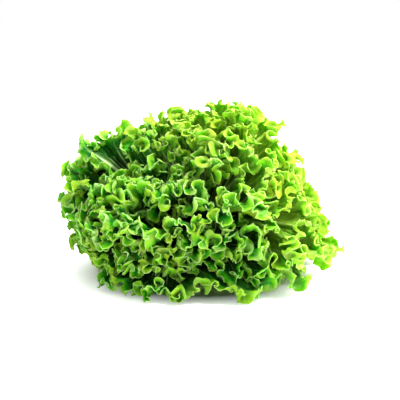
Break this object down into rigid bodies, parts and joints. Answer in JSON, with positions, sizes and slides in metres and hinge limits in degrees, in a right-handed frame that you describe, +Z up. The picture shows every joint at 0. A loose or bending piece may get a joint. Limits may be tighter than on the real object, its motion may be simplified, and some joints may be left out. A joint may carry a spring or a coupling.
{
  "type": "curly lettuce head",
  "caption": "Loose head of curly green leaf lettuce, cut at the stem, with nested fan-shaped leaves whose margins are tightly frilled, leaning to one side on a flat cut face.",
  "frame": {"origin": "on the surface the head rests on, under the middle of its bounding box", "axes": "+Z up; +X along the head's width, to the right as seen from the front; the heart leans toward -X and -Y"},
  "size_m": [0.2635, 0.2333, 0.1584],
  "materials": {
    "outer_leaf": "waxy leaf, satin",
    "middle_leaf": "waxy leaf, satin",
    "heart_leaf": "tender leaf, satin",
    "stump": "moist cut plant tissue, matte"
  },
  "bodies": {
    "root": {"outer_leaf_01": "outer_leaf", "outer_leaf_02": "outer_leaf", "outer_leaf_03": "outer_leaf", "outer_leaf_04": "outer_leaf", "outer_leaf_05": "outer_leaf", "outer_leaf_06": "outer_leaf", "outer_leaf_07": "outer_leaf", "outer_leaf_08": "outer_leaf", "outer_leaf_09": "outer_leaf", "outer_leaf_10": "outer_leaf", "outer_leaf_11": "outer_leaf", "outer_leaf_12": "outer_leaf", "outer_leaf_13": "outer_leaf", "middle_leaf_01": "middle_leaf", "middle_leaf_02": "middle_leaf", "middle_leaf_03": "middle_leaf", "middle_leaf_04": "middle_leaf", "middle_leaf_05": "middle_leaf", "middle_leaf_06": "middle_leaf", "middle_leaf_07": "middle_leaf", "middle_leaf_08": "middle_leaf", "middle_leaf_09": "middle_leaf", "middle_leaf_10": "middle_leaf", "middle_leaf_11": "middle_leaf", "middle_leaf_12": "middle_leaf", "middle_leaf_13": "middle_leaf", "heart_leaf_01": "heart_leaf", "heart_leaf_02": "heart_leaf", "heart_leaf_03": "heart_leaf", "heart_leaf_04": "heart_leaf", "heart_leaf_05": "heart_leaf", "heart_leaf_06": "heart_leaf", "heart_leaf_07": "heart_leaf", "heart_leaf_08": "heart_leaf", "heart_leaf_09": "heart_leaf", "heart_leaf_10": "heart_leaf", "stump": "stump"}
  },
  "joints": []
}
